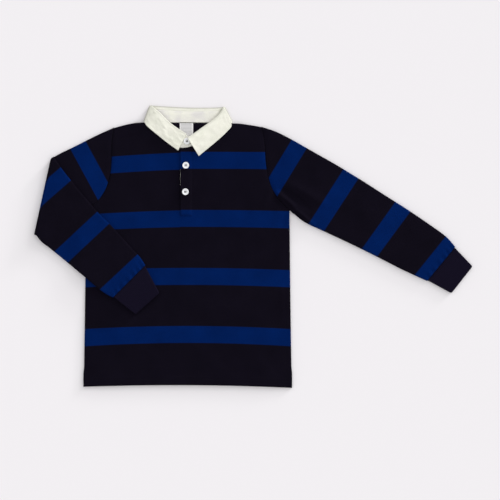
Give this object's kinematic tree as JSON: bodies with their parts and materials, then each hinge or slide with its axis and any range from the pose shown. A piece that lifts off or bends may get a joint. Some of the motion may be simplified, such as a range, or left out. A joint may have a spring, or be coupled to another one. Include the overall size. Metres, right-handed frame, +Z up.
{
  "type": "child's long-sleeve rugby shirt, laid flat",
  "caption": "Child's long-sleeve rugby shirt laid flat: striped jersey body and sleeves, one sleeve folded over, cream twill collar, button placket and ribbed cuffs.",
  "frame": {"origin": "on the underside of the back panel, on the centre line and midway between collar and hem, where the shirt rests", "axes": "+X to the wearer's left, along the stretched sleeve's side; +Y towards the collar; +Z up, out of the shirt's front"},
  "size_m": [0.7441, 0.4796, 0.0104],
  "materials": {
    "jersey": "matt cotton jersey, navy with royal-blue knitted-in stripes",
    "rib_knit": "matt cotton rib knit, navy",
    "collar_twill": "matt cotton twill, cream",
    "label_satin": "woven satin tape, pale grey",
    "button_resin": "polished white resin"
  },
  "bodies": {
    "root": {"back": "jersey", "front": "jersey", "sleeve_left": "jersey", "sleeve_right": "jersey", "placket": "jersey", "cuff_left": "rib_knit", "cuff_right": "rib_knit", "collar_leaf": "collar_twill", "collar_stand": "collar_twill", "neck_label": "label_satin", "button_1": "button_resin", "button_2": "button_resin", "button_3": "button_resin"}
  },
  "joints": []
}
